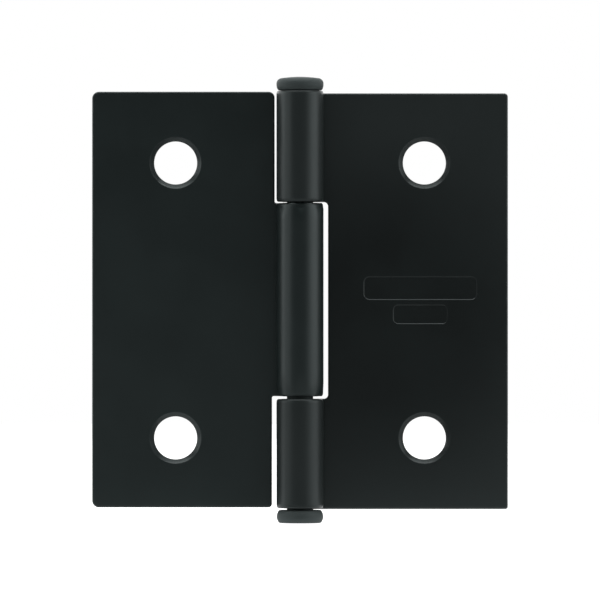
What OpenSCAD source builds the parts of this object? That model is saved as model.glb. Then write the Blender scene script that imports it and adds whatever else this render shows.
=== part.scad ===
// Two-inch square butt hinge: two sheet-steel leaves with rolled knuckles, turning on a riveted pin.
// The pin axis is Z and the hinge lies open and flat. The leaves spread along X, the frame leaf
// towards +X and the door leaf towards -X. The barrel and the countersinks face -Y, and the backs of
// both leaves lie in one plane on the +Y side, which is tangent to the barrel.

/* [Leaf] */
// Height of both leaves along the pin
leaf_h = 50.8; // [36:0.1:80]
// Width of the whole hinge when it is open and flat
open_w = 50.8; // [36:0.1:80]
// Thickness of the sheet
leaf_t = 1.2; // [0.8:0.05:2]
// Radius of the door leaf's two outer corners
door_corner_r = 0.85; // [0.2:0.05:3]
// Radius of the door leaf's upper corner beside the barrel
door_upper_inner_r = 0.75; // [0.1:0.05:1]
// Radius of the door leaf's lower corner beside the barrel
door_lower_inner_r = 0.45; // [0.1:0.05:1]
// Radius of the frame leaf's upper outer corner
frame_upper_corner_r = 0.45; // [0.2:0.05:3]
// Radius of the frame leaf's lower outer corner
frame_lower_corner_r = 0.25; // [0.1:0.05:3]

/* [Knuckles] */
// Length of the door leaf's middle knuckle
middle_knuckle_l = 23.6; // [14:0.1:30]
// Mean gap between two neighbouring knuckles
knuckle_gap = 0.2; // [0.16:0.02:0.8]
// How far the frame leaf's notch and screw holes stand above the middle of that leaf
notch_rise = 0.1; // [0:0.01:0.4]
// How far the door leaf stands above the middle of its end play in the notch
door_leaf_rise = 0.1; // [0:0.01:0.14]
// How far the upper knuckle's end stands above the frame leaf's upper edge
upper_end_rise = 0.3; // [0:0.05:0.4]
// How far the lower knuckle's end stands above the frame leaf's lower edge
lower_end_rise = 0.15; // [0:0.05:0.4]
// Gap between the upper knuckle and the edge of the door leaf
upper_notch_gap = 0.22; // [0.18:0.02:1.2]
// Gap between the lower knuckle and the edge of the door leaf
lower_notch_gap = 0.55; // [0.25:0.05:1.2]
// Gap between the middle knuckle and the edge of the frame leaf
middle_notch_gap = 0.55; // [0.25:0.05:1.2]
// Radius in the inner corners of the frame leaf's notch
frame_notch_r = 0.5; // [0.1:0.05:0.5]
// Radius in the inner corners of the door leaf's notches
door_notch_r = 0.2; // [0.1:0.05:0.5]
// Gap between the end of the curl and the leaf's front face
seam_gap = 0.25; // [0.1:0.05:0.8]

/* [Pin] */
// Diameter of the pin's shank
pin_d = 3.2; // [2:0.1:6]
// Radial running clearance of the pin in the knuckles
pin_clearance = 0.07; // [0.03:0.01:0.09]
// How far the upper head's rim stays inside the barrel's
upper_head_inset = 0; // [0:0.01:0.6]
// Height of the upper head without its dome
upper_head_h = 1.46; // [1.3:0.02:3]
// Height of the dome on the upper head
upper_head_dome = 0.17; // [0.1:0.01:0.6]
// Radius of the upper head's rounded rim
upper_rim_r = 0.65; // [0.2:0.05:0.65]
// Height of the upper head's widest place over its underside
upper_head_seat = 0.65; // [0.3:0.05:0.65]
// How far the upper head's side draws in towards its underside
upper_head_draw = 0.2; // [0.1:0.05:0.4]
// How far the riveted lower head's rim stays inside the barrel's
lower_head_inset = 0.03; // [0:0.01:0.6]
// Height of the riveted lower head
lower_head_h = 1.58; // [1:0.02:3]
// How far the lower head's side draws in towards each end
lower_head_draw = 0.3; // [0.1:0.05:0.4]
// Gap between the upper knuckle and the upper head
upper_head_gap = 0.04; // [0.04:0.02:0.4]
// Gap between the frame leaf's lower edge and the lower head
lower_head_gap = 0.05; // [0.05:0.05:0.4]

/* [Screw holes] */
// Diameter of the four screw holes
hole_d = 5.25; // [3:0.05:6.5]
// Diameter of the countersinks on the front
countersink_d = 6.3; // [5.5:0.05:8]
// Angle of the countersinks
countersink_angle = 90; // [80:1:120]
// Distance from the centre of a hole to the leaf's outer edge
hole_edge_x = 10.2; // [5:0.1:16]
// Distance from the centre of a hole to the leaf's upper or lower edge
hole_edge_z = 8.6; // [5:0.1:14]
// How far the door leaf's holes stand below the middle of that leaf
door_holes_drop = 0.1; // [0:0.01:0.4]

/* [Hidden] */
$fn = 96;
steel_black = [0.13, 0.15, 0.15];
pin_black = [0.19, 0.21, 0.21];
overshoot = 1;                               // how far a cut runs past the face that it opens

half_h = leaf_h / 2;
half_w = open_w / 2;
bore_r = pin_d / 2 + pin_clearance;
barrel_r = bore_r + leaf_t;
half_middle = middle_knuckle_l / 2;
half_notch = half_middle + knuckle_gap;
door_leaf_z = notch_rise + door_leaf_rise;
curl_end_angle = asin((bore_r - seam_gap) / barrel_r);
upper_head_d = 2 * (barrel_r - upper_head_inset);
lower_head_d = 2 * (barrel_r - lower_head_inset);
hole_x = half_w - hole_edge_x;
hole_z = half_h - hole_edge_z;
countersink_depth = (countersink_d - hole_d) / 2 / tan(countersink_angle / 2);
shank_top = half_h + upper_end_rise + upper_head_gap;
shank_bottom = -half_h - lower_head_gap;

// ---- shapes that both leaves use -------------------------------------------------------------

// Everything that a corner of radius r loses. The corner is at the origin and the plate lies
// towards +X and +Y.
module corner_waste(r) {
    difference() {
        translate([-overshoot, -overshoot]) square(r + overshoot);
        translate([r, r]) circle(r);
    }
}

// The web of metal that fills an inner corner with radius r. The corner is at the origin and the
// open side lies towards +X and +Y.
module corner_web(r) {
    difference() {
        square(r);
        translate([r, r]) circle(r);
    }
}

// Outline of the plate's flat part seen from the front, from the pin axis to the outer edge at +X.
module plate_outline(upper_r, lower_r) {
    difference() {
        translate([0, -half_h]) square([half_w, leaf_h]);
        translate([half_w, half_h]) rotate(180) corner_waste(upper_r);
        translate([half_w, -half_h]) mirror([1, 0]) corner_waste(lower_r);
    }
}

// Stands a front outline up as sheet: X stays, the outline's Y becomes Z, and the sheet's back lies
// on the plane that is tangent to the barrel.
module as_sheet() {
    translate([0, barrel_r, 0]) rotate([90, 0, 0]) linear_extrude(leaf_t) children();
}

// One rolled knuckle on a leaf that lies towards +X, from z0 to z1. The sheet leaves the leaf at
// the back, goes round the pin past the front, and ends short of the leaf's front face.
module knuckle(z0, z1) {
    seam_reach = barrel_r * 2;
    translate([0, 0, z0]) linear_extrude(z1 - z0) difference() {
        circle(barrel_r);
        circle(bore_r);
        intersection() {
            polygon([
                [0, 0],
                seam_reach * [cos(curl_end_angle), sin(curl_end_angle)],
                [seam_reach, seam_reach],
                [0, seam_reach]
            ]);
            translate([0, -overshoot]) square([seam_reach, bore_r + overshoot]);
        }
    }
}

// The two screw holes of a leaf that lies towards +X, countersunk from the front. Their middle stands
// rise above the middle of the leaf.
module screw_holes(rise) {
    front_y = barrel_r - leaf_t;
    for (z = [rise - hole_z, rise + hole_z])
        translate([hole_x, 0, z]) rotate([-90, 0, 0]) {
            translate([0, 0, front_y - overshoot]) cylinder(h = leaf_t + 2 * overshoot, d = hole_d);
            translate([0, 0, front_y]) cylinder(h = countersink_depth, d1 = countersink_d, d2 = hole_d);
        }
}

// ---- the three pieces ------------------------------------------------------------------------

// Leaf that is screwed to the frame, with the upper and the lower knuckle.
module frame_leaf() {
    notch_x = barrel_r + middle_notch_gap;
    notch_top = half_notch + notch_rise;
    notch_bottom = -half_notch + notch_rise;
    color(steel_black) difference() {
        union() {
            knuckle(notch_top, half_h + upper_end_rise);
            knuckle(-half_h + lower_end_rise, notch_bottom);
            as_sheet() {
                difference() {
                    plate_outline(frame_upper_corner_r, frame_lower_corner_r);
                    translate([-overshoot, notch_bottom])
                        square([notch_x + overshoot, notch_top - notch_bottom]);
                }
                translate([notch_x, notch_top]) rotate(180) corner_web(frame_notch_r);
                translate([notch_x, notch_bottom]) rotate(90) corner_web(frame_notch_r);
            }
        }
        screw_holes(notch_rise);
    }
}

// Leaf that is screwed to the door, with the middle knuckle. It is drawn towards +X like the frame
// leaf and then mirrored, and it stands a little high in its end play.
module door_leaf() {
    upper_x = barrel_r + upper_notch_gap;
    lower_x = barrel_r + lower_notch_gap;
    color(steel_black) translate([0, 0, door_leaf_z]) mirror([1, 0, 0]) difference() {
        union() {
            knuckle(-half_middle, half_middle);
            as_sheet() {
                difference() {
                    plate_outline(door_corner_r, door_corner_r);
                    translate([-overshoot, half_middle]) square([upper_x + overshoot, half_h]);
                    translate([-overshoot, -half_middle - half_h]) square([lower_x + overshoot, half_h]);
                    translate([upper_x, half_h]) mirror([0, 1]) corner_waste(door_upper_inner_r);
                    translate([lower_x, -half_h]) corner_waste(door_lower_inner_r);
                }
                translate([upper_x, half_middle]) mirror([1, 0]) corner_web(door_notch_r);
                translate([lower_x, -half_middle]) rotate(180) corner_web(door_notch_r);
            }
        }
        screw_holes(-door_holes_drop);
    }
}

// Half section of the part of a head below its widest place: diameter d, height h, and a side that
// draws in by draw on an arc towards the flat end.
module drawn_section(d, h, draw) {
    side_r = (h * h + draw * draw) / (2 * draw);
    square([d / 2 - draw, h]);
    intersection() {
        translate([d / 2 - side_r, h]) circle(side_r);
        square([d / 2, h]);
    }
}

// Half section of the part of a head above its widest place: diameter d, height h, rim radius r.
module rim_section(d, h, r) {
    square([d / 2 - r, h]);
    square([d / 2, h - r]);
    translate([d / 2 - r, h - r]) circle(r);
}

// Half section of a dome of height h over a flat of radius a.
module dome_section(a, h) {
    dome_r = (a * a + h * h) / (2 * h);
    intersection() {
        translate([0, h - dome_r]) circle(dome_r);
        square([a, h]);
    }
}

// Pin through all three knuckles: a formed head on top, and the lower end upset into a rivet head.
// The shank and both heads are one section, turned round the pin axis.
module hinge_pin() {
    color(pin_black) rotate_extrude() {
        translate([0, shank_bottom]) square([pin_d / 2, shank_top - shank_bottom]);
        translate([0, shank_top]) {
            drawn_section(upper_head_d, upper_head_seat, upper_head_draw);
            translate([0, upper_head_seat])
                rim_section(upper_head_d, upper_head_h - upper_head_seat, upper_rim_r);
            translate([0, upper_head_h]) dome_section(upper_head_d / 2 - upper_rim_r, upper_head_dome);
        }
        translate([0, shank_bottom - lower_head_h / 2]) for (end = [0, 1])
            mirror([0, end]) translate([0, -lower_head_h / 2])
                drawn_section(lower_head_d, lower_head_h / 2, lower_head_draw);
    }
}

frame_leaf();
door_leaf();
hinge_pin();
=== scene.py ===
# %% [markdown]
# A butt hinge is two sheet-steel leaves that turn on one pin. The real one is punched flat, rolled
# and coated satin black, so this lesson makes it the same way. It draws each leaf as a flat blank,
# gives the blank the rounded edge that a punch leaves, rolls its tabs into knuckles with Geometry
# Nodes, turns the pin on a lathe made of nodes, and coats everything with shared shader groups.

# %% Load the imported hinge
import math

import bpy
import numpy as np
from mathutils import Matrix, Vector
from mathutils.geometry import delaunay_2d_cdt


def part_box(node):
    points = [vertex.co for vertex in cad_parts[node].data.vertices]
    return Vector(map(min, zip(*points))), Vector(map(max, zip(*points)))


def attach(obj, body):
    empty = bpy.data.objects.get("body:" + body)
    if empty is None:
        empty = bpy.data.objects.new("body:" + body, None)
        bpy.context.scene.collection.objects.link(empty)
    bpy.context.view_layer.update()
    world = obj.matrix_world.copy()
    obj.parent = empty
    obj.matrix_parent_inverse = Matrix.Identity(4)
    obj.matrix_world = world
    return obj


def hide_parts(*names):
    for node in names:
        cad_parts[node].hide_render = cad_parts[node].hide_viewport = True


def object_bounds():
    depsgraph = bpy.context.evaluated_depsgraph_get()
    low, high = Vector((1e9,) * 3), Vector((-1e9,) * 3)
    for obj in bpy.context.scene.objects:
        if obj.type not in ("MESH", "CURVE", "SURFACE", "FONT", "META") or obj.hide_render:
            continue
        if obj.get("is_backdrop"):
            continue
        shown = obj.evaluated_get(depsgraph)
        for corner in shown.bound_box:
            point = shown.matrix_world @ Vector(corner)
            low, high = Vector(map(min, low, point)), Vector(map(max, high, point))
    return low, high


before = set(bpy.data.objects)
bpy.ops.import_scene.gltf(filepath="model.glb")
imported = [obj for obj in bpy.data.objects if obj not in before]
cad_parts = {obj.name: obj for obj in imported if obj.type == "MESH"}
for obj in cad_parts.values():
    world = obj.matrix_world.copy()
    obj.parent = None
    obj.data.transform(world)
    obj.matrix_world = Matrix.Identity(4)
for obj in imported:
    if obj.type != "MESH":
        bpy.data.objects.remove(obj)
cad_box = [list(corner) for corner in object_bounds()]
print("CAD box in mm:", [[round(v * 1000, 2) for v in corner] for corner in cad_box])

# %% [markdown]
# The sizes below are the hinge's own, in millimetres. The sheet's front face is as far from the pin's
# axis as the knuckles' bore, because the sheet's front becomes the inside of the roll, and its back
# becomes the outside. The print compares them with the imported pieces, so a slip shows at once.

# %% Sizes of the hinge
MM = 0.001
LEAF_HALF_HEIGHT = 25.4
LEAF_REACH = 25.4
SHEET = 1.2
PIN_RADIUS = 1.6
BORE_RADIUS = 1.67
BARREL_RADIUS = BORE_RADIUS + SHEET
HALF_MIDDLE_KNUCKLE = 11.8
KNUCKLE_GAP = 0.2
NOTCH_RISE = 0.1
DOOR_LEAF_RISE = 0.1
UPPER_END_RISE = 0.3
LOWER_END_RISE = 0.15
UPPER_NOTCH_GAP = 0.22
LOWER_NOTCH_GAP = 0.55
SEAM_GAP = 0.25
FRAME_NOTCH_RADIUS = 0.5
DOOR_NOTCH_RADIUS = 0.2
HOLE_RADIUS = 2.625
COUNTERSINK_RADIUS = 3.15
HOLE_X = 15.2
HOLE_Z = 16.8
FRAME_HOLES_RISE = NOTCH_RISE
DOOR_HOLES_RISE = -0.1

for node, size in (("frame_leaf", LEAF_REACH), ("door_leaf", -LEAF_REACH)):
    low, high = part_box(node)
    far = high.x if size > 0 else low.x
    print(f"{node}: reach off by {far / MM - size:.4f} mm, back off by {high.y / MM - BARREL_RADIUS:.4f} mm,"
          f" height {(high.z - low.z) / MM:.2f} mm")

# %% [markdown]
# Every outline on the blank is a closed run of straight lines and round corners, so one helper makes
# them all. It gives points and, at each point, the way out of the metal. Because no corner is sharp,
# a copy of the outline moved along those ways is an exact offset, and that is all a rounded edge needs.

# %% Outlines with round corners
ARC_STEP = math.radians(9)
ROLL_STEP = math.radians(4)
NEUTRAL_RADIUS = (BORE_RADIUS + BARREL_RADIUS) / 2
CURL = math.tau - (math.pi / 2 - math.asin((BORE_RADIUS - SEAM_GAP) / BARREL_RADIUS))
TAB_END = -CURL * NEUTRAL_RADIUS
FLAT_STEP = 2.0
ROW_STEP = 1.25
ROW_COUNT = int(LEAF_HALF_HEIGHT / ROW_STEP)
CROSSING_MARGIN = 0.05
COLUMNS = ([-step * ROLL_STEP * NEUTRAL_RADIUS for step in range(int(CURL / ROLL_STEP) + 1)]
           + [column * FLAT_STEP for column in range(1, int(LEAF_REACH / FLAT_STEP) + 1)])
ROWS = [row * ROW_STEP for row in range(-ROW_COUNT, ROW_COUNT + 1)]


def turned(way, angle):
    """A flat direction turned anticlockwise by an angle."""
    return Vector((way.x * math.cos(angle) - way.y * math.sin(angle),
                   way.x * math.sin(angle) + way.y * math.cos(angle)))


def round_corner(here, before, after, radius):
    """Points and ways out of the metal round one corner of an outline with the metal on its left."""
    turn = math.atan2(before.x * after.y - before.y * after.x, before.dot(after))
    side = math.copysign(1, turn)
    way_out = Vector((before.y, -before.x))
    centre = here - before * (radius * math.tan(abs(turn) / 2)) - way_out * (radius * side)
    steps = max(2, math.ceil(abs(turn) / ARC_STEP))
    ways = [turned(way_out, turn * step / steps) for step in range(steps + 1)]
    return [(centre + way * (radius * side), way) for way in ways]


def between(start, end):
    """Points on a straight stretch of outline, wherever it crosses a column or a row of the grid."""
    (a, way), (b, _) = start, end
    along, lines = (0, COLUMNS) if abs(b.x - a.x) > abs(b.y - a.y) else (1, ROWS)
    low, high = sorted((a[along], b[along]))
    crossings = [v for v in lines if low + CROSSING_MARGIN < v < high - CROSSING_MARGIN]
    shares = sorted((v - a[along]) / (b[along] - a[along]) for v in crossings)
    return [(a.lerp(b, share), way) for share in shares]


def outline(corners):
    """A closed outline from (x, z, radius) corners, as a list of (point, way out of the metal)."""
    count = len(corners)
    spots = [Vector(corner[:2]) for corner in corners]
    ways = [(spots[(i + 1) % count] - spots[i]).normalized() for i in range(count)]
    arcs = [round_corner(spots[i], ways[i - 1], ways[i], corners[i][2]) for i in range(count)]
    loop = []
    for i, arc in enumerate(arcs):
        loop += arc + between(arc[-1], arcs[(i + 1) % count][0])
    return loop


def circle_in_metal(x, z, radius, steps=72):
    """A round hole's outline: it runs clockwise, so the metal is on its left."""
    ways = [Vector((math.cos(-math.tau * i / steps), math.sin(-math.tau * i / steps))) for i in range(steps)]
    return [(Vector((x, z)) + way * radius, -way) for way in ways]


print(f"a tab is {-TAB_END:.2f} mm long and rolls through {math.degrees(CURL):.1f} degrees")

# %% [markdown]
# A punch drags the sheet's front edge over into a soft round, leaves a smooth band under it, and
# tears the rest, which stands back a few hundredths. The back edge stays crisper. An edge profile
# lists those steps as how far in from the outline and how deep below the front face. On the rolled
# tabs the back is the outside and is worked by the rolling tool, so there the larger round moves to it.

# %% Edge profiles
SMOOTH_BAND = 0.42
TORN_FROM = 0.5
TORN_INSET = 0.025
LEAD_IN = 0.05


def eased(value, low, high):
    """0 below low, 1 above high and a smooth step between."""
    share = min(max((value - low) / (high - low), 0), 1)
    return share * share * (3 - 2 * share)


def stretch(end, steps):
    """Angles from 0 to an end, in equal steps."""
    return [end * step / steps for step in range(steps + 1)]


def edge_profile(x):
    """(inset, depth, rim) steps of the cut edge at x, measured from the pin's axis outwards."""
    flat = eased(x, -1.0, 1.5)
    front = 0.12 + 0.09 * flat
    back = 0.22 - 0.15 * flat
    back_inset = 0.42 - 0.35 * flat
    steps = [(front + LEAD_IN, 0, 0)]
    steps += [(front * (1 - math.sin(a)), front * (1 - math.cos(a)), 1) for a in stretch(math.pi / 2, 6)]
    steps += [(0, SMOOTH_BAND * SHEET, 0.4), (TORN_INSET, TORN_FROM * SHEET, 0)]
    steps += [(TORN_INSET + back_inset * (1 - math.cos(a)), SHEET - back * (1 - math.sin(a)), 0.6)
              for a in stretch(math.pi / 2, 6)]
    return steps + [(TORN_INSET + back_inset + LEAD_IN, SHEET, 0)]


def screw_hole_profile(_):
    """The same for a screw hole: a soft rim, the countersink's cone, the hole's wall and its back edge."""
    rim, toe, back, lead = 0.1, 0.08, 0.06, 0.06
    cone = COUNTERSINK_RADIUS - HOLE_RADIUS
    slope = math.radians(45)
    rim_start = cone + rim * math.tan(slope / 2)
    reach = toe * math.tan(slope / 2)
    steps = [(rim_start + lead, 0, 0)]
    steps += [(rim_start - rim * math.sin(a), rim * (1 - math.cos(a)), 1) for a in stretch(slope, 4)]
    steps += [(toe * (1 - math.cos(a)), cone + reach - toe * math.sin(a), 0.5)
              for a in reversed(stretch(slope, 3))]
    steps += [(0, SHEET - back - LEAD_IN, 0)]
    steps += [(back * (1 - math.cos(a)), SHEET - back * (1 - math.sin(a)), 0.5)
              for a in stretch(math.pi / 2, 3)]
    return steps + [(back + LEAD_IN, SHEET, 0)]


print("edge profile:", len(edge_profile(10)), "steps; screw hole:", len(screw_hole_profile(0)), "steps")

# %% [markdown]
# The frame leaf also carries a shallow pressed mark. Its words are left out, and two plain sunk
# panels take their place. A panel's outline lies in the metal as a hole's does, but its profile
# slopes down to a floor and stops.

# %% Profile of a pressed panel
PRESS_DEPTH = 0.11
PRESS_SLOPE = 0.12
OUTER_RING = 0.12
SLOPE_START = 0.05
FLOOR_START = -0.07
FLOOR_RING = -0.13


def pressed_profile(_):
    """The same for a pressed panel, from the sheet's front face down the slope to the panel's floor."""
    steps = [(OUTER_RING, 0, 0), (SLOPE_START, 0, 0)]
    steps += [(SLOPE_START - PRESS_SLOPE * share, PRESS_DEPTH * eased(share, 0, 1), 0.5)
              for share in (0.15, 0.5, 0.85)]
    return steps + [(FLOOR_START, PRESS_DEPTH, 0), (FLOOR_RING, PRESS_DEPTH, 0)]


print(f"a panel is {PRESS_DEPTH} mm deep, down a slope of {PRESS_SLOPE} mm")

# %% [markdown]
# A blank is built by walking round each outline and laying one ring of points per profile step, with
# quads between the rings. The two flat faces are filled by a Delaunay triangulation, which takes the
# rings as fixed edges and a grid of points inside, so that the tabs have enough columns to roll.

# %% Build a flat blank
GRID_CLEARANCE = 0.3
TRIANGLES_INSIDE = 1
SAME_PLACE = 1e-6


def new_sheet():
    """An empty sheet: its points, its faces and how much each point lies on a rim."""
    return {"points": [], "faces": [], "rim": []}


def add_point(sheet, x, depth, z, rim=0.0):
    """Adds a point at a depth below the front face, and returns its number."""
    sheet["points"].append((x, BORE_RADIUS + depth, z))
    sheet["rim"].append(rim)
    return len(sheet["points"]) - 1


def lay_rings(sheet, loop, profile, side):
    """Rings of points round an outline, one per profile step, joined by quads. Returns first and last."""
    profiles = [profile(point.x * side) for point, _ in loop]
    rings = []
    for step in range(len(profiles[0])):
        ring = []
        for (point, way), steps in zip(loop, profiles):
            inset, depth, rim = steps[step]
            place = point - way * inset
            ring.append(add_point(sheet, place.x, depth, place.y, rim))
        rings.append(ring)
    count = len(loop)
    for upper, lower in zip(rings, rings[1:]):
        for i in range(count):
            j = (i + 1) % count
            sheet["faces"].append((upper[i], lower[i], lower[j], upper[j]))
    return rings[0], rings[-1]


def inside(points, polygon):
    """Which points lie inside a polygon, by counting the edges to the right of each."""
    result = np.zeros(len(points), bool)
    x, y = points[:, 0], points[:, 1]
    for (ax, ay), (bx, by) in zip(polygon, np.roll(polygon, -1, axis=0)):
        if ay != by:
            crosses = (ay > y) != (by > y)
            result ^= crosses & (x < (bx - ax) * (y - ay) / (by - ay) + ax)
    return result


def spread(triangles, walls, start):
    """The triangles that can be reached from one of them without crossing a wall."""
    sharing = {}
    for number, triangle in enumerate(triangles):
        for a, b in zip(triangle, triangle[1:] + triangle[:1]):
            sharing.setdefault(frozenset((a, b)), []).append(number)
    reached, waiting = {start}, [start]
    while waiting:
        triangle = triangles[waiting.pop()]
        for a, b in zip(triangle, triangle[1:] + triangle[:1]):
            if frozenset((a, b)) not in walls:
                new = [number for number in sharing[frozenset((a, b))] if number not in reached]
                reached.update(new)
                waiting += new
    return reached


def fill(sheet, rings, depth, grid, faces_back):
    """Fills the face between an outer ring and the rings inside it, with grid points where they fit."""
    edges, flat = [], []
    polygons = []
    for ring in rings:
        start = len(flat)
        flat += ring
        edges += [(start + i, start + (i + 1) % len(ring)) for i in range(len(ring))]
        polygons.append(np.array([(sheet["points"][v][0], sheet["points"][v][2]) for v in ring]))
    if len(grid):
        keep = inside(grid, polygons[0])
        for polygon in polygons[1:]:
            keep &= ~inside(grid, polygon)
        border = np.concatenate(polygons)
        kept = [place for place in grid[keep]
                if ((border - place) ** 2).sum(axis=1).min() > GRID_CLEARANCE ** 2]
        flat += [add_point(sheet, x, depth, z) for x, z in kept]
    places = [Vector((sheet["points"][v][0], sheet["points"][v][2])) for v in flat]
    found = delaunay_2d_cdt(places, edges, [], TRIANGLES_INSIDE, SAME_PLACE)
    triangles = [[found[3][v][0] for v in triangle] for triangle in found[2]]
    corners = np.array([[places[v] for v in triangle] for triangle in triangles])
    (abx, aby), (acx, acy) = (corners[:, 1] - corners[:, 0]).T, (corners[:, 2] - corners[:, 0]).T
    metal = inside(corners.mean(axis=1), polygons[0])
    for polygon in polygons[1:]:
        metal &= ~inside(corners.mean(axis=1), polygon)
    start = int(np.argmax(np.abs(abx * acy - aby * acx) * metal))
    for number in sorted(spread(triangles, {frozenset(edge) for edge in edges}, start)):
        corner_points = [flat[v] for v in triangles[number]]
        sheet["faces"].append(tuple(reversed(corner_points)) if faces_back else tuple(corner_points))


def make_blank(name, corners, holes, panels, side, rise):
    """A leaf's blank as a mesh object. Corners are given for a leaf towards +X; side -1 mirrors them."""
    if side < 0:
        corners = [(-x, z, radius) for x, z, radius in reversed(corners)]
    corners = [(x, z + rise, radius) for x, z, radius in corners]
    sheet = new_sheet()
    front_rings, back_rings = [], []
    front, back = lay_rings(sheet, outline(corners), edge_profile, side)
    front_rings.append(front)
    back_rings.append(back)
    for x, z in holes:
        circle = circle_in_metal(side * x, z + rise, HOLE_RADIUS)
        front, back = lay_rings(sheet, circle, screw_hole_profile, side)
        front_rings.append(front)
        back_rings.append(back)
    for x, z, width, height, radius in panels:
        panel = [(x + sx * width / 2, z + sz * height / 2, radius)
                 for sx, sz in ((-1, -1), (-1, 1), (1, 1), (1, -1))]
        front, floor = lay_rings(sheet, outline(panel), pressed_profile, side)
        front_rings.append(front)
        fill(sheet, [list(reversed(floor))], PRESS_DEPTH, [], False)
    grid = np.array([(side * x, z) for x in COLUMNS for z in ROWS])
    fill(sheet, front_rings, 0, grid, False)
    fill(sheet, back_rings, SHEET, grid, True)
    mesh = bpy.data.meshes.new(name)
    mesh.from_pydata([(x * MM, y * MM, z * MM) for x, y, z in sheet["points"]], [], sheet["faces"])
    mesh.attributes.new("rim", "FLOAT", "POINT").data.foreach_set("value", sheet["rim"])
    mesh.validate()
    blank = bpy.data.objects.new(name, mesh)
    bpy.context.scene.collection.objects.link(blank)
    print(f"{name}: {len(mesh.vertices)} points, {len(mesh.polygons)} faces")
    return blank


# %% [markdown]
# The frame leaf keeps a tab above and a tab below a notch, and the door leaf keeps one tab between
# two notches, so that the knuckles interlock. The corners are listed once round each blank, for a
# leaf towards +X, and each carries its own radius, because a pressed part's corners aren't all alike.

# %% Outlines of the two leaves
TAB_CORNER = 0.5
TAB_ROOT = 0.3
FRAME_UPPER_CORNER = 0.45
FRAME_LOWER_CORNER = 0.3
DOOR_OUTER_CORNER = 0.85
DOOR_UPPER_INNER_CORNER = 0.75
DOOR_LOWER_INNER_CORNER = 0.45
frame_notch_x = BARREL_RADIUS + LOWER_NOTCH_GAP
half_notch = HALF_MIDDLE_KNUCKLE + KNUCKLE_GAP
notch_top, notch_bottom = half_notch + NOTCH_RISE, -half_notch + NOTCH_RISE
tab_top, tab_bottom = LEAF_HALF_HEIGHT + UPPER_END_RISE, -LEAF_HALF_HEIGHT + LOWER_END_RISE
frame_corners = [
    (LEAF_REACH, -LEAF_HALF_HEIGHT, FRAME_LOWER_CORNER), (LEAF_REACH, LEAF_HALF_HEIGHT, FRAME_UPPER_CORNER),
    (TAB_ROOT, LEAF_HALF_HEIGHT, TAB_CORNER), (-TAB_ROOT, tab_top, TAB_CORNER),
    (TAB_END, tab_top, TAB_CORNER), (TAB_END, notch_top, TAB_CORNER),
    (frame_notch_x, notch_top, FRAME_NOTCH_RADIUS), (frame_notch_x, notch_bottom, FRAME_NOTCH_RADIUS),
    (TAB_END, notch_bottom, TAB_CORNER), (TAB_END, tab_bottom, TAB_CORNER),
    (-TAB_ROOT, tab_bottom, TAB_CORNER), (TAB_ROOT, -LEAF_HALF_HEIGHT, TAB_CORNER),
]
door_upper_x = BARREL_RADIUS + UPPER_NOTCH_GAP
door_lower_x = BARREL_RADIUS + LOWER_NOTCH_GAP
door_corners = [
    (LEAF_REACH, -LEAF_HALF_HEIGHT, DOOR_OUTER_CORNER), (LEAF_REACH, LEAF_HALF_HEIGHT, DOOR_OUTER_CORNER),
    (door_upper_x, LEAF_HALF_HEIGHT, DOOR_UPPER_INNER_CORNER),
    (door_upper_x, HALF_MIDDLE_KNUCKLE, DOOR_NOTCH_RADIUS),
    (TAB_END, HALF_MIDDLE_KNUCKLE, TAB_CORNER), (TAB_END, -HALF_MIDDLE_KNUCKLE, TAB_CORNER),
    (door_lower_x, -HALF_MIDDLE_KNUCKLE, DOOR_NOTCH_RADIUS),
    (door_lower_x, -LEAF_HALF_HEIGHT, DOOR_LOWER_INNER_CORNER),
]
# Each panel is its centre's x and z, its width, its height and its corners' radius.
pressed_panels = [(14.7, 1.6, 13.8, 2.8, 0.7), (14.7, -1.6, 6.6, 2.3, 0.6)]
frame_holes = [(HOLE_X, FRAME_HOLES_RISE + z) for z in (-HOLE_Z, HOLE_Z)]
door_holes = [(HOLE_X, DOOR_HOLES_RISE + z) for z in (-HOLE_Z, HOLE_Z)]
frame_blank = make_blank("frame_blank", frame_corners, frame_holes, pressed_panels, 1, 0)
door_blank = make_blank("door_blank", door_corners, door_holes, [], -1, NOTCH_RISE + DOOR_LEAF_RISE)

# %% [markdown]
# Rolling a tab needs no bend tool: a point that lies past the pin's axis goes round the axis instead,
# through an angle that is its distance past the axis over the radius at the middle of the sheet. Its
# own distance from the axis is its radius. The tree below says that with a few Math nodes, and stores
# each point's place on the flat blank first, so that the coating can follow the metal round the roll.

# %% Helpers for node trees


def add_node(tree, kind, inputs=None, **settings):
    """Adds a node, sets its properties, and links or fills its inputs."""
    node = tree.nodes.new(kind)
    for key, value in settings.items():
        setattr(node, key, value)
    for key, value in (inputs or {}).items():
        if isinstance(value, bpy.types.NodeSocket):
            tree.links.new(value, node.inputs[key])
        else:
            node.inputs[key].default_value = value
    return node


def calc(tree, operation, a, b=0.0, c=None):
    """One Math node. Returns its output."""
    inputs = {0: a, 1: b}
    if c is not None:
        inputs[2] = c
    return add_node(tree, "ShaderNodeMath", inputs, operation=operation).outputs[0]


def new_tree(name, inputs):
    """A Geometry Nodes tree with named inputs, and its input and output nodes."""
    tree = bpy.data.node_groups.new(name, "GeometryNodeTree")
    for socket_name, socket_type in [("Geometry", "NodeSocketGeometry")] + inputs:
        tree.interface.new_socket(socket_name, in_out="INPUT", socket_type=socket_type)
    tree.interface.new_socket("Geometry", in_out="OUTPUT", socket_type="NodeSocketGeometry")
    return tree, tree.nodes.new("NodeGroupInput").outputs


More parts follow.
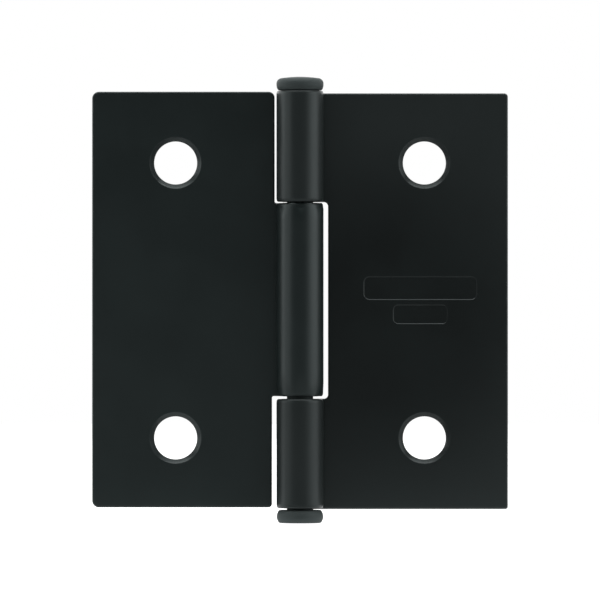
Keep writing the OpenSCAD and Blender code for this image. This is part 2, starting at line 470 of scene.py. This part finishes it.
def close_tree(tree, geometry, material):
    """Every tree ends the same way: instances made real, smooth shading, one material."""
    real = add_node(tree, "GeometryNodeRealizeInstances", {"Geometry": geometry}).outputs[0]
    smooth = add_node(tree, "GeometryNodeSetShadeSmooth", {"Geometry": real}).outputs[0]
    coated = add_node(tree, "GeometryNodeSetMaterial", {"Geometry": smooth, "Material": material}).outputs[0]
    add_node(tree, "NodeGroupOutput", {"Geometry": coated})


def bake_tree(source, tree, values, name):
    """Runs a tree on an object with named values, and returns the result as a plain mesh object."""
    modifier = source.modifiers.new("Nodes", "NODES")
    modifier.node_group = tree
    for item in tree.interface.items_tree:
        if item.in_out == "INPUT" and item.name in values:
            modifier[item.identifier] = values[item.name]
    depsgraph = bpy.context.evaluated_depsgraph_get()
    mesh = bpy.data.meshes.new_from_object(source.evaluated_get(depsgraph), preserve_all_data_layers=True,
                                           depsgraph=depsgraph)
    mesh.name = name
    piece = bpy.data.objects.new(name, mesh)
    bpy.context.scene.collection.objects.link(piece)
    bpy.data.objects.remove(source)
    return piece


# %% Tree that rolls the tabs
roll_tree, given = new_tree("Roll the knuckles", [
    ("Neutral radius", "NodeSocketFloat"), ("Side", "NodeSocketFloat"), ("Material", "NodeSocketMaterial")])
place = add_node(roll_tree, "GeometryNodeInputPosition").outputs[0]
remembered = add_node(roll_tree, "GeometryNodeStoreNamedAttribute",
                      {"Geometry": given["Geometry"], "Name": "blank_place", "Value": place},
                      data_type="FLOAT_VECTOR", domain="POINT").outputs[0]
split = add_node(roll_tree, "ShaderNodeSeparateXYZ", {0: place}).outputs
outward = calc(roll_tree, "MULTIPLY", split["X"], given["Side"])
flat_part = calc(roll_tree, "MAXIMUM", outward, 0.0)
past_axis = calc(roll_tree, "MAXIMUM", calc(roll_tree, "MULTIPLY", outward, -1.0), 0.0)
angle = calc(roll_tree, "DIVIDE", past_axis, given["Neutral radius"])
round_axis = calc(roll_tree, "MULTIPLY", split["Y"], calc(roll_tree, "SINE", angle))
rolled_x = calc(roll_tree, "MULTIPLY", calc(roll_tree, "SUBTRACT", flat_part, round_axis), given["Side"])
rolled_y = calc(roll_tree, "MULTIPLY", split["Y"], calc(roll_tree, "COSINE", angle))
rolled_place = add_node(roll_tree, "ShaderNodeCombineXYZ", {"X": rolled_x, "Y": rolled_y, "Z": split["Z"]})
rolled = add_node(roll_tree, "GeometryNodeSetPosition",
                  {"Geometry": remembered, "Position": rolled_place.outputs[0]}).outputs[0]
close_tree(roll_tree, rolled, given["Material"])
print("roll tree:", len(roll_tree.nodes), "nodes")

# %% [markdown]
# The pin is a turned piece with an upset head at each end. Its half profile is a short run of points
# from the bottom of the axis to the top, with arcs for the rounds. The lathe tree makes a grid with
# one column per profile point and wraps its rows round the axis, which closes after merging.

# %% Half profile of the pin
UPPER_HEAD_RADIUS = BARREL_RADIUS
LOWER_HEAD_RADIUS = BARREL_RADIUS - 0.03
SHANK_TOP = LEAF_HALF_HEIGHT + UPPER_END_RISE + 0.04
SHANK_BOTTOM = -LEAF_HALF_HEIGHT - 0.05
UPPER_HEAD = 1.46
UPPER_SEAT = 0.65
UPPER_DRAW = 0.2
UPPER_RIM = 0.65
UPPER_DOME = 0.17
LOWER_HEAD = 1.58
LOWER_DRAW = 0.3
DRAWN_SHARE = 0.94
HEAD_EDGE = 0.1
OUTER_STRIP = 0.16
HOLLOW_DEPTH = 0.01
HOLLOW_FLOOR_RADIUS = 0.8
HOLLOW_RIM_RADIUS = 1.7
SEAT_RADIUS = 2.0
FILLET = 0.05
FILLET_FOOT = 0.06
SHANK_END = 0.6
SHANK_MIDDLE = 8


def arc(centre_r, centre_z, radius, start, end, steps=6):
    """Points of an arc in the half profile, angles in degrees from the way out."""
    angles = [math.radians(start + (end - start) * i / steps) for i in range(steps + 1)]
    return [(centre_r + radius * math.cos(a), centre_z + radius * math.sin(a)) for a in angles]


def drawn_side(head_radius, widest_z, height, draw, ends):
    """The bulging side of a head, from its lower end to its upper end, as angles over the arc."""
    radius = (height ** 2 + draw ** 2) / (2 * draw)
    reach = math.degrees(math.asin(height / radius))
    start, end = (reach * share for share in ends)
    return arc(head_radius - radius, widest_z, radius, start, end, 9 * len(set(ends) - {0}))


bottom = SHANK_BOTTOM - LOWER_HEAD
top = SHANK_TOP + UPPER_HEAD
flat_top = UPPER_HEAD_RADIUS - UPPER_RIM
dome_radius = (flat_top ** 2 + UPPER_DOME ** 2) / (2 * UPPER_DOME)
dome_angle = math.degrees(math.asin(flat_top / dome_radius))
lower_end = LOWER_HEAD_RADIUS - LOWER_DRAW
upper_end = UPPER_HEAD_RADIUS - UPPER_DRAW
half_head = LOWER_HEAD / 2
pin_profile = [(0, bottom + HOLLOW_DEPTH), (HOLLOW_FLOOR_RADIUS, bottom + HOLLOW_DEPTH),
               (HOLLOW_RIM_RADIUS, bottom), (lower_end - OUTER_STRIP, bottom),
               (lower_end - HEAD_EDGE, bottom)]
pin_profile += drawn_side(LOWER_HEAD_RADIUS, SHANK_BOTTOM - half_head, half_head, LOWER_DRAW,
                          (-DRAWN_SHARE, DRAWN_SHARE))
pin_profile += [(lower_end - HEAD_EDGE, SHANK_BOTTOM), (SEAT_RADIUS, SHANK_BOTTOM),
                (PIN_RADIUS + FILLET_FOOT, SHANK_BOTTOM)]
pin_profile += arc(PIN_RADIUS + FILLET, SHANK_BOTTOM + FILLET, FILLET, 225, 180, 2)
pin_profile += [(PIN_RADIUS, z) for z in (SHANK_BOTTOM + SHANK_END, -SHANK_MIDDLE, SHANK_MIDDLE,
                                          SHANK_TOP - SHANK_END)]
pin_profile += arc(PIN_RADIUS + FILLET, SHANK_TOP - FILLET, FILLET, 180, 135, 2)
pin_profile += [(PIN_RADIUS + FILLET_FOOT, SHANK_TOP), (SEAT_RADIUS, SHANK_TOP),
                (upper_end - HEAD_EDGE, SHANK_TOP)]
pin_profile += drawn_side(UPPER_HEAD_RADIUS, SHANK_TOP + UPPER_SEAT, UPPER_SEAT, UPPER_DRAW,
                          (-DRAWN_SHARE, 0))
pin_profile += arc(UPPER_HEAD_RADIUS - UPPER_RIM, top - UPPER_RIM, UPPER_RIM, 0, 90 - dome_angle, 10)
pin_profile += arc(0, top + UPPER_DOME - dome_radius, dome_radius, 90 - dome_angle, 90, 8)[1:]
mesh = bpy.data.meshes.new("pin_profile")
mesh.from_pydata([(r * MM, 0, z * MM) for r, z in pin_profile],
                 [(i, i + 1) for i in range(len(pin_profile) - 1)], [])
pin_line = bpy.data.objects.new("pin_profile", mesh)
bpy.context.scene.collection.objects.link(pin_line)
print(f"pin: {len(pin_profile)} profile points, {pin_profile[-1][1] - pin_profile[0][1]:.2f} mm long")

# %% Lathe tree
lathe_tree, given = new_tree("Turn on a lathe", [
    ("Segments", "NodeSocketInt"), ("Material", "NodeSocketMaterial")])
stations = add_node(lathe_tree, "GeometryNodeAttributeDomainSize", {"Geometry": given["Geometry"]},
                    component="MESH").outputs["Point Count"]
grid = add_node(lathe_tree, "GeometryNodeMeshGrid",
                {"Size X": 1.0, "Size Y": 1.0, "Vertices X": stations,
                 "Vertices Y": calc(lathe_tree, "ADD", given["Segments"], 1.0)}).outputs["Mesh"]
position = add_node(lathe_tree, "GeometryNodeInputPosition").outputs[0]
place = add_node(lathe_tree, "ShaderNodeSeparateXYZ", {0: position}).outputs
column_share = calc(lathe_tree, "ADD", place["X"], 0.5)
along = calc(lathe_tree, "MULTIPLY", column_share, calc(lathe_tree, "SUBTRACT", stations, 1.0))
on_profile = add_node(lathe_tree, "GeometryNodeSampleIndex",
                      {"Geometry": given["Geometry"], "Value": position,
                       "Index": calc(lathe_tree, "ROUND", along)},
                      data_type="FLOAT_VECTOR", domain="POINT").outputs[0]
half = add_node(lathe_tree, "ShaderNodeSeparateXYZ", {0: on_profile}).outputs
angle = calc(lathe_tree, "MULTIPLY", calc(lathe_tree, "ADD", place["Y"], 0.5), math.tau)
turned_place = add_node(lathe_tree, "ShaderNodeCombineXYZ",
                        {"X": calc(lathe_tree, "MULTIPLY", half["X"], calc(lathe_tree, "COSINE", angle)),
                         "Y": calc(lathe_tree, "MULTIPLY", half["X"], calc(lathe_tree, "SINE", angle)),
                         "Z": half["Z"]}).outputs[0]
wrapped = add_node(lathe_tree, "GeometryNodeSetPosition",
                   {"Geometry": grid, "Position": turned_place}).outputs[0]
closed = add_node(lathe_tree, "GeometryNodeMergeByDistance",
                  {"Geometry": wrapped, "Distance": SAME_PLACE}).outputs[0]
outside_out = add_node(lathe_tree, "GeometryNodeFlipFaces", {"Mesh": closed}).outputs[0]
close_tree(lathe_tree, outside_out, given["Material"])
print("lathe tree:", len(lathe_tree.nodes), "nodes")

# %% [markdown]
# The finish is a thin satin black coat. It is never one flat colour: it has a fine orange peel, a
# slow drift in how black and how dull it is, and it thins on the rims, where its paler colour is
# also a painted highlight. Each of these is a shader group, because the leaves and the pin both need
# it with their own values. A fourth group paints shade on the frame leaf: it says how far a place
# lies from the darkest spot of that painted shade, which gets paler towards the leaf's edge.

# %% Shader groups
SPECKS_PER_CLOUD = 34.0
# How far from its darkest spot the frame leaf's painted shade starts to fade, and where it ends.
PAINTED_SHADE_DARK_REACH = 0.008
PAINTED_SHADE_FADE_REACH = 0.026


def new_group(name, inputs, outputs):
    """A shader group with named inputs, given as (name, type, default), and named float outputs."""
    group = bpy.data.node_groups.new(name, "ShaderNodeTree")
    for socket_name, socket_type, default in inputs:
        socket = group.interface.new_socket(socket_name, in_out="INPUT", socket_type=socket_type)
        if default is not None:
            socket.default_value = default
    for socket_name in outputs:
        group.interface.new_socket(socket_name, in_out="OUTPUT", socket_type="NodeSocketFloat")
    return group, group.nodes.new("NodeGroupInput").outputs


peel_group, given = new_group(
    "Orange peel", [("Place", "NodeSocketVector", None), ("Scale", "NodeSocketFloat", 1800.0),
                    ("Amount", "NodeSocketFloat", 1.0)], ["Height"])
fine = add_node(peel_group, "ShaderNodeTexNoise", {"Vector": given["Place"], "Scale": given["Scale"],
                                                   "Detail": 2.0, "Roughness": 0.45}).outputs[0]
add_node(peel_group, "NodeGroupOutput", {"Height": calc(peel_group, "MULTIPLY", fine, given["Amount"])})

drift_group, given = new_group(
    "Slow drift", [("Place", "NodeSocketVector", None), ("Scale", "NodeSocketFloat", 120.0)],
    ["Cloud", "Speck"])
cloud = add_node(drift_group, "ShaderNodeTexNoise", {"Vector": given["Place"], "Scale": given["Scale"],
                                                     "Detail": 4.0, "Roughness": 0.55}).outputs[0]
soft = add_node(drift_group, "ShaderNodeMapRange", {"Value": cloud, "From Min": 0.3, "From Max": 0.7},
                interpolation_type="SMOOTHSTEP").outputs[0]
speck_scale = calc(drift_group, "MULTIPLY", given["Scale"], SPECKS_PER_CLOUD)
speck = add_node(drift_group, "ShaderNodeTexNoise", {"Vector": given["Place"], "Scale": speck_scale,
                                                     "Detail": 1.0}).outputs[0]
dust = add_node(drift_group, "ShaderNodeMapRange",
                {"Value": speck, "From Min": 0.72, "From Max": 0.8}).outputs[0]
add_node(drift_group, "NodeGroupOutput", {"Cloud": soft, "Speck": dust})

# Painted shade: how far a place lies from the darkest spot of the frame leaf's painted shade.
painted_shade_group, given = new_group(
    "Painted shade, paler towards the edge", [("Place", "NodeSocketVector", None), ("Centre", "NodeSocketVector", None)],
    ["Share"])
reach = add_node(painted_shade_group, "ShaderNodeVectorMath", {0: given["Place"], 1: given["Centre"]},
                 operation="DISTANCE").outputs["Value"]
share = add_node(painted_shade_group, "ShaderNodeMapRange",
                 {"Value": reach, "From Min": PAINTED_SHADE_DARK_REACH, "From Max": PAINTED_SHADE_FADE_REACH},
                 interpolation_type="SMOOTHSTEP").outputs[0]
add_node(painted_shade_group, "NodeGroupOutput", {"Share": share})

# Rims take a paler colour in patches: partly the coat thinning, partly a painted highlight on the rounded
# edges.
rim_wear_and_highlight_group, given = new_group(
    "Thin rims and painted rim highlight", [("Place", "NodeSocketVector", None), ("Rim", "NodeSocketFloat", 0.0),
                  ("Amount", "NodeSocketFloat", 0.5)], ["Wear and highlight"])
patchy = add_node(rim_wear_and_highlight_group, "ShaderNodeTexNoise", {"Vector": given["Place"], "Scale": 700.0,
                                                     "Detail": 3.0}).outputs[0]
rubbed = add_node(rim_wear_and_highlight_group, "ShaderNodeMapRange",
                  {"Value": patchy, "From Min": 0.35, "From Max": 0.75}).outputs[0]
rim_wear_and_highlight = calc(rim_wear_and_highlight_group, "MULTIPLY", calc(rim_wear_and_highlight_group, "MULTIPLY", rubbed, given["Rim"]), given["Amount"])
add_node(rim_wear_and_highlight_group, "NodeGroupOutput", {"Wear and highlight": rim_wear_and_highlight})
print("shader groups:", [group.name for group in (peel_group, drift_group, painted_shade_group, rim_wear_and_highlight_group)])

# %% The coatings
DUST_DULLS = 0.12
RIMS_SHINE = -0.06
# The darkest spot of the painted shade on the frame leaf.
PAINTED_SHADE_CENTRE = (0.0105, BORE_RADIUS * MM, -0.003)
LEAF_DULLNESS = (0.33, 0.37)
LEAF_PEEL = (1600.0, 0.0000008)
# The paler colour on the rims, part worn coat and part painted highlight.
RIM_WEAR_AND_HIGHLIGHT = (0.03, 0.036, 0.036)


def blend(tree, share, below, above):
    """A mix of two colours by a share from 0 to 1. Returns its output."""
    return add_node(tree, "ShaderNodeMix", {"Factor": share, 6: below, 7: above},
                    data_type="RGBA").outputs[2]


def coating(name, place_attribute, black, pale, dull, peel, rim_amount, rims_worn_and_highlighted, shine=0.5, edge=None):
    """A satin coat: its blacks, its roughness range, its orange peel, how much it thins and takes a
    painted highlight on rims, how strongly it shines, and, if it has one, the colour that its painted
    shade fades to towards its leaf's outer edge."""
    material = bpy.data.materials.new(name)
    material.use_nodes = True
    tree = material.node_tree
    shader = tree.nodes["Principled BSDF"]
    shader.inputs["Specular Tint"].default_value = (0.88, 1, 1, 1)
    shader.inputs["Specular IOR Level"].default_value = shine
    if place_attribute:
        place = add_node(tree, "ShaderNodeAttribute", attribute_name=place_attribute).outputs["Vector"]
    else:
        place = add_node(tree, "ShaderNodeTexCoord").outputs["Object"]
    rim = add_node(tree, "ShaderNodeAttribute", attribute_name="rim").outputs["Fac"]
    drift = add_node(tree, "ShaderNodeGroup", {"Place": place}, node_tree=drift_group).outputs
    rim_wear_and_highlight = add_node(tree, "ShaderNodeGroup", {"Place": place, "Rim": rim, "Amount": rim_amount},
                    node_tree=rim_wear_and_highlight_group).outputs["Wear and highlight"]
    colour = blend(tree, drift["Cloud"], (*black, 1), (*pale, 1))
    # Painted shade: the colour goes from a darker black at one spot to paler towards the leaf's edge.
    if edge:
        painted_shade_fade = add_node(tree, "ShaderNodeGroup", {"Place": place, "Centre": PAINTED_SHADE_CENTRE},
                         node_tree=painted_shade_group).outputs["Share"]
        colour = blend(tree, painted_shade_fade, colour, (*edge, 1))
    # On the rims the colour goes paler: part wear, part painted highlight.
    tree.links.new(blend(tree, rim_wear_and_highlight, colour, (*rims_worn_and_highlighted, 1)), shader.inputs["Base Color"])
    low, high = dull
    rough = add_node(tree, "ShaderNodeMapRange",
                     {"Value": drift["Cloud"], "To Min": low, "To Max": high}).outputs[0]
    dusty = calc(tree, "MULTIPLY_ADD", drift["Speck"], DUST_DULLS, rough)
    tree.links.new(calc(tree, "MULTIPLY_ADD", rim_wear_and_highlight, RIMS_SHINE, dusty), shader.inputs["Roughness"])
    peel_scale, peel_height = peel
    skin = add_node(tree, "ShaderNodeGroup", {"Place": place, "Scale": peel_scale}, node_tree=peel_group)
    bump = add_node(tree, "ShaderNodeBump", {"Height": skin.outputs["Height"], "Strength": 1.0,
                                             "Distance": peel_height})
    tree.links.new(bump.outputs["Normal"], shader.inputs["Normal"])
    print(f"{name}: {len(tree.nodes)} nodes")
    return material


leaf_coat = coating("leaf_coating", "blank_place", (0.005, 0.009, 0.009), (0.007, 0.012, 0.012),
                    LEAF_DULLNESS, LEAF_PEEL, 0.5, RIM_WEAR_AND_HIGHLIGHT)
# The frame leaf's coat is the leaf coat with painted shade: darker blacks, paler towards its outer edge, and
# a little less shine.
frame_coat_with_painted_shade = coating("frame_leaf_coating_with_painted_shade", "blank_place", (0.001, 0.002, 0.002), (0.002, 0.004, 0.004),
                     LEAF_DULLNESS, LEAF_PEEL, 0.5, RIM_WEAR_AND_HIGHLIGHT, 0.4, (0.014, 0.018, 0.018))
pin_coat = coating("pin_coating", None, (0.026, 0.034, 0.034), (0.032, 0.041, 0.041),
                   (0.62, 0.7), (1400.0, 0.000003), 0.0, (0.05, 0.056, 0.056))

# %% [markdown]
# Now each blank goes through the rolling tree and the pin's half profile through the lathe tree, and
# what comes out is a plain mesh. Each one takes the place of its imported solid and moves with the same
# body, so the hinge turns as it was designed to. The lathe has enough segments for a round outline.

# %% Roll the leaves and turn the pin
PIN_SEGMENTS = 96
neutral = NEUTRAL_RADIUS * MM
frame_leaf = bake_tree(frame_blank, roll_tree,
                       {"Neutral radius": neutral, "Side": 1.0, "Material": frame_coat_with_painted_shade},
                       "rolled_frame_leaf")
door_leaf = bake_tree(door_blank, roll_tree,
                      {"Neutral radius": neutral, "Side": -1.0, "Material": leaf_coat},
                      "rolled_door_leaf")
pin = bake_tree(pin_line, lathe_tree, {"Segments": PIN_SEGMENTS, "Material": pin_coat}, "turned_pin")
for piece in (frame_leaf, door_leaf, pin):
    mesh = piece.data
    size = [round(v * 1000, 2) for v in piece.dimensions]
    print(f"{piece.name}: {len(mesh.polygons)} faces, {size} mm")

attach(frame_leaf, "frame_side")
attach(door_leaf, "door_side")
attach(pin, "pin")
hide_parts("frame_leaf")
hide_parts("door_leaf")
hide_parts("hinge_pin")

# %% [markdown]
# The light is a plain white studio. The hinge is nearly black, so what gives it form is what it
# reflects: soft boxes on each side draw the two bright lines on the barrel, those above and behind
# light the heads and the countersinks, and a card on the floor fills from below. The front stays dim.

# %% Soft boxes
CARD_UNDER = 0.02705
CARD_BACK = 0.008


def soft_box(name, azimuth, elevation, distance, width, height, radiance):
    """An area light that looks at the hinge, set by where it is and how bright its face is."""
    light = bpy.data.lights.new(name, "AREA")
    light.shape = "RECTANGLE"
    light.size, light.size_y = width, height
    light.energy = radiance * math.pi * width * height
    lamp = bpy.data.objects.new(name, light)
    az, el = math.radians(azimuth), math.radians(elevation)
    way = Vector((math.sin(az) * math.cos(el), -math.cos(az) * math.cos(el), math.sin(el)))
    lamp.location = way * distance
    lamp.rotation_euler = way.to_track_quat("Z", "Y").to_euler()
    lamp.visible_camera = False
    bpy.context.scene.collection.objects.link(lamp)
    return lamp


soft_box("left_box", -97, 0, 0.5, 0.27, 0.65, 2.15)
soft_box("left_back_box", -128, 0, 0.5, 0.3, 0.6, 1.3)
soft_box("left_soft_edge", -63, 0, 0.5, 0.3, 0.65, 1.05)
soft_box("right_box", 75, 0, 0.5, 0.36, 0.65, 1.9)
soft_box("right_soft_edge", 47, 0, 0.5, 0.17, 0.65, 0.8)
soft_box("right_back_box", 118, 0, 0.5, 0.4, 0.6, 0.6)
soft_box("top_box", 0, 80, 0.5, 0.8, 0.3, 3.3)
soft_box("top_back_box", 180, 58, 0.5, 0.8, 0.5, 1.3)
soft_box("back_box", 180, 16, 0.6, 1.2, 0.3, 1.6)
low_card = soft_box("low_card", 0, -90, CARD_UNDER, 0.3, 0.024, 0.75)
low_card.location.y = CARD_BACK

# %% [markdown]
# The hinge lies against pure white, but white walls all round would wash out its black. So the world
# and the floor are white only where the camera looks straight at them, and dim in every reflection.
# The camera is far away with a long lens, which shows both leaves with hardly any perspective.

# %% World, floor and camera
WORLD_LEVEL = 0.13
FLOOR_LEVEL = 0.4
FLOOR_SIZE = 1.6
FLOOR_DROP = 0.0001
CAMERA_DISTANCE = 1.0
CAMERA_HEIGHT = 0.00015
LENS = 492

world = bpy.data.worlds.new("studio")
bpy.context.scene.world = world
world.use_nodes = True
tree = world.node_tree
tree.nodes.clear()
seen = add_node(tree, "ShaderNodeLightPath").outputs["Is Camera Ray"]
shade = blend(tree, seen, (WORLD_LEVEL, WORLD_LEVEL, WORLD_LEVEL, 1), (1, 1, 1, 1))
backdrop = add_node(tree, "ShaderNodeBackground", {"Color": shade, "Strength": 1.0}).outputs[0]
add_node(tree, "ShaderNodeOutputWorld", {"Surface": backdrop})

floor_z = cad_box[0][2] - FLOOR_DROP
bpy.ops.mesh.primitive_plane_add(size=FLOOR_SIZE, location=(0, 0, floor_z))
floor = bpy.context.object
floor.name = "floor"
pale = bpy.data.materials.new("pale_floor")
pale.use_nodes = True
tree = pale.node_tree
pale_shader = tree.nodes["Principled BSDF"]
pale_shader.inputs["Base Color"].default_value = (FLOOR_LEVEL, FLOOR_LEVEL, FLOOR_LEVEL, 1)
pale_shader.inputs["Roughness"].default_value = 0.9
seen = add_node(tree, "ShaderNodeLightPath").outputs["Is Camera Ray"]
tree.links.new(seen, pale_shader.inputs["Emission Strength"])
pale_shader.inputs["Emission Color"].default_value = (1, 1, 1, 1)
floor.data.materials.append(pale)
floor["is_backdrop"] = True

camera_data = bpy.data.cameras.new("camera")
camera_data.sensor_width = 36
camera_data.lens = LENS
camera = bpy.data.objects.new("camera", camera_data)
camera.location = (0, -CAMERA_DISTANCE, CAMERA_HEIGHT)
camera.rotation_euler = (math.radians(90), 0, 0)
bpy.context.scene.collection.objects.link(camera)
bpy.context.scene.camera = camera
bpy.context.scene.view_settings.view_transform = "Standard"
print("camera at", list(camera.location))

# %% Measure and finish
size = {"cad": cad_box, "visual": [list(corner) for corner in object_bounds()]}
print("visual box in mm:", [[round(v * 1000, 2) for v in corner] for corner in size["visual"]])
